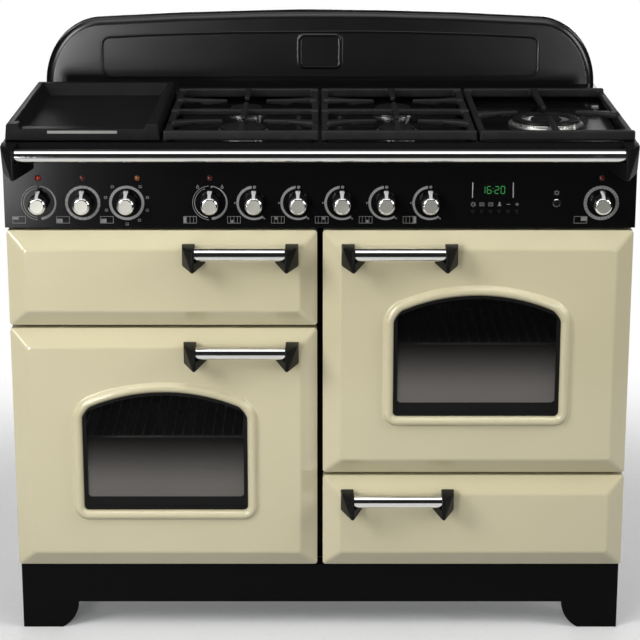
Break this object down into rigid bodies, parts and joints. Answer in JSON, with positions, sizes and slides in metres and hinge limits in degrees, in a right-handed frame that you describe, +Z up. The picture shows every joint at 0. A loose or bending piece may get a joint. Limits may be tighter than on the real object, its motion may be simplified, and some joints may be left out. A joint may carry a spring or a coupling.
{
  "type": "dual fuel range cooker",
  "caption": "Free-standing range cooker with gas hob and griddle, fan ovens with arched windows, grill drawer, storage drawer, control knobs, handrail and splashback.",
  "frame": {"origin": "centre of the overall box on the floor", "axes": "+X to the right seen from the front, +Y to the back, +Z up"},
  "size_m": [1.092, 0.669, 1.0509],
  "materials": {
    "cream_enamel": "glossy cream vitreous enamel",
    "black_enamel": "glossy black vitreous enamel",
    "chrome": "polished chrome plate",
    "cast_iron": "matt black cast iron",
    "burner_alloy": "cast aluminium",
    "dark_glass": "dark toughened glass",
    "ceramic_glass": "black glass ceramic",
    "plated_steel": "plain plated steel",
    "lamp_lens": "clear coloured lens"
  },
  "bodies": {
    "cooker_body": {"base_frame": "plated_steel", "burner_caps": "cast_iron", "burner_heads": "burner_alloy", "control_panel": "black_enamel", "door_hinges": "plated_steel", "fan_motors": "plated_steel", "front_frame": "black_enamel", "gas_rail": "plated_steel", "grill_chamber": "black_enamel", "handrail": "chrome", "heating_elements": "plated_steel", "hob_top": "black_enamel", "hot_zone_glass": "ceramic_glass", "indicator_lenses": "lamp_lens", "levelling_feet": "plated_steel", "outer_panels": "black_enamel", "oven_liners": "black_enamel", "oven_shelves": "chrome", "plinth": "black_enamel", "slide_runners": "plated_steel", "splashback": "black_enamel", "taps_and_switches": "plated_steel"},
    "left_door": {"left_oven_door": "cream_enamel", "left_door_liner": "black_enamel", "left_door_glass": "dark_glass", "left_door_handle": "chrome"},
    "right_door": {"right_oven_door": "cream_enamel", "right_door_liner": "black_enamel", "right_door_glass": "dark_glass", "right_door_handle": "chrome"},
    "grill_drawer": {"grill_front": "cream_enamel", "grill_carriage": "black_enamel", "grill_pan": "black_enamel", "grill_handle": "chrome"},
    "storage_drawer": {"storage_front": "cream_enamel", "storage_tray": "black_enamel", "storage_handle": "chrome"},
    "left_oven_fan": {"left_oven_fan": "plated_steel"},
    "right_oven_fan": {"right_oven_fan": "plated_steel"},
    "pan_support_left": {"pan_support_left": "cast_iron"},
    "pan_support_right": {"pan_support_right": "cast_iron"},
    "wok_support": {"wok_support": "cast_iron"},
    "griddle": {"griddle": "cast_iron"},
    "grill_knob": {"grill_knob": "chrome"},
    "left_oven_knob": {"left_oven_knob": "chrome"},
    "oven_function_knob": {"oven_function_knob": "chrome"},
    "hot_zone_knob": {"hot_zone_knob": "chrome"},
    "front_left_burner_knob": {"front_left_burner_knob": "chrome"},
    "rear_left_burner_knob": {"rear_left_burner_knob": "chrome"},
    "rear_right_burner_knob": {"rear_right_burner_knob": "chrome"},
    "front_right_burner_knob": {"front_right_burner_knob": "chrome"},
    "wok_burner_knob": {"wok_burner_knob": "chrome"},
    "right_oven_knob": {"right_oven_knob": "chrome"},
    "timer_button_1": {"timer_button_1": "chrome"},
    "timer_button_2": {"timer_button_2": "chrome"},
    "timer_button_3": {"timer_button_3": "chrome"},
    "timer_button_4": {"timer_button_4": "chrome"},
    "timer_button_5": {"timer_button_5": "chrome"},
    "timer_button_6": {"timer_button_6": "chrome"},
    "oven_light_button": {"oven_light_button": "chrome"}
  },
  "joints": [
    {"name": "left_door_hinge", "type": "hinge", "parent": "cooker_body", "child": "left_door", "pos_m": [-0.535, -0.2365, 0.351], "axis": [0, 0, -1], "range_deg": [0, 95]},
    {"name": "right_door_hinge", "type": "hinge", "parent": "cooker_body", "child": "right_door", "pos_m": [0.535, -0.2365, 0.528], "axis": [0, 0, 1], "range_deg": [0, 95]},
    {"name": "grill_slide", "type": "slide", "parent": "cooker_body", "child": "grill_drawer", "axis": [0, -1, 0], "range_m": [0, 0.28]},
    {"name": "storage_slide", "type": "slide", "parent": "cooker_body", "child": "storage_drawer", "axis": [0, -1, 0], "range_m": [0, 0.36]},
    {"name": "grill_knob_turn", "type": "hinge", "parent": "cooker_body", "child": "grill_knob", "pos_m": [-0.486, -0.2655, 0.8], "axis": [0, -1, 0], "range_deg": [-165, 165]},
    {"name": "left_oven_knob_turn", "type": "hinge", "parent": "cooker_body", "child": "left_oven_knob", "pos_m": [-0.41, -0.2655, 0.8], "axis": [0, -1, 0], "range_deg": [-270, 0]},
    {"name": "oven_function_knob_turn", "type": "hinge", "parent": "cooker_body", "child": "oven_function_knob", "pos_m": [-0.334, -0.2655, 0.8], "axis": [0, -1, 0], "continuous": true},
    {"name": "hot_zone_knob_turn", "type": "hinge", "parent": "cooker_body", "child": "hot_zone_knob", "pos_m": [-0.19, -0.2655, 0.8], "axis": [0, -1, 0], "range_deg": [-165, 165]},
    {"name": "front_left_burner_knob_turn", "type": "hinge", "parent": "cooker_body", "child": "front_left_burner_knob", "pos_m": [-0.114, -0.2655, 0.8], "axis": [0, -1, 0], "range_deg": [0, 215]},
    {"name": "rear_left_burner_knob_turn", "type": "hinge", "parent": "cooker_body", "child": "rear_left_burner_knob", "pos_m": [-0.038, -0.2655, 0.8], "axis": [0, -1, 0], "range_deg": [0, 215]},
    {"name": "rear_right_burner_knob_turn", "type": "hinge", "parent": "cooker_body", "child": "rear_right_burner_knob", "pos_m": [0.038, -0.2655, 0.8], "axis": [0, -1, 0], "range_deg": [0, 215]},
    {"name": "front_right_burner_knob_turn", "type": "hinge", "parent": "cooker_body", "child": "front_right_burner_knob", "pos_m": [0.114, -0.2655, 0.8], "axis": [0, -1, 0], "range_deg": [0, 215]},
    {"name": "wok_burner_knob_turn", "type": "hinge", "parent": "cooker_body", "child": "wok_burner_knob", "pos_m": [0.19, -0.2655, 0.8], "axis": [0, -1, 0], "range_deg": [0, 215]},
    {"name": "right_oven_knob_turn", "type": "hinge", "parent": "cooker_body", "child": "right_oven_knob", "pos_m": [0.486, -0.2655, 0.8], "axis": [0, -1, 0], "range_deg": [-270, 0]},
    {"name": "timer_button_1_press", "type": "slide", "parent": "cooker_body", "child": "timer_button_1", "axis": [0, 1, 0], "range_m": [0, 0.0015], "stiffness_N_per_m": 800},
    {"name": "timer_button_2_press", "type": "slide", "parent": "cooker_body", "child": "timer_button_2", "axis": [0, 1, 0], "range_m": [0, 0.0015], "stiffness_N_per_m": 800},
    {"name": "timer_button_3_press", "type": "slide", "parent": "cooker_body", "child": "timer_button_3", "axis": [0, 1, 0], "range_m": [0, 0.0015], "stiffness_N_per_m": 800},
    {"name": "timer_button_4_press", "type": "slide", "parent": "cooker_body", "child": "timer_button_4", "axis": [0, 1, 0], "range_m": [0, 0.0015], "stiffness_N_per_m": 800},
    {"name": "timer_button_5_press", "type": "slide", "parent": "cooker_body", "child": "timer_button_5", "axis": [0, 1, 0], "range_m": [0, 0.0015], "stiffness_N_per_m": 800},
    {"name": "timer_button_6_press", "type": "slide", "parent": "cooker_body", "child": "timer_button_6", "axis": [0, 1, 0], "range_m": [0, 0.0015], "stiffness_N_per_m": 800},
    {"name": "oven_light_button_press", "type": "slide", "parent": "cooker_body", "child": "oven_light_button", "axis": [0, 1, 0], "range_m": [0, 0.0015], "stiffness_N_per_m": 800},
    {"name": "left_oven_fan_spin", "type": "hinge", "parent": "cooker_body", "child": "left_oven_fan", "pos_m": [-0.269, 0.2, 0.351], "axis": [0, -1, 0], "continuous": true},
    {"name": "right_oven_fan_spin", "type": "hinge", "parent": "cooker_body", "child": "right_oven_fan", "pos_m": [0.269, 0.2, 0.52775], "axis": [0, -1, 0], "continuous": true},
    {"name": "pan_support_left_lift", "type": "slide", "parent": "cooker_body", "child": "pan_support_left", "axis": [0, 0, 1], "range_m": [0, 0.15]},
    {"name": "pan_support_right_lift", "type": "slide", "parent": "cooker_body", "child": "pan_support_right", "axis": [0, 0, 1], "range_m": [0, 0.15]},
    {"name": "wok_support_lift", "type": "slide", "parent": "cooker_body", "child": "wok_support", "axis": [0, 0, 1], "range_m": [0, 0.15]},
    {"name": "griddle_lift", "type": "slide", "parent": "cooker_body", "child": "griddle", "axis": [0, 0, 1], "range_m": [0, 0.15]}
  ]
}
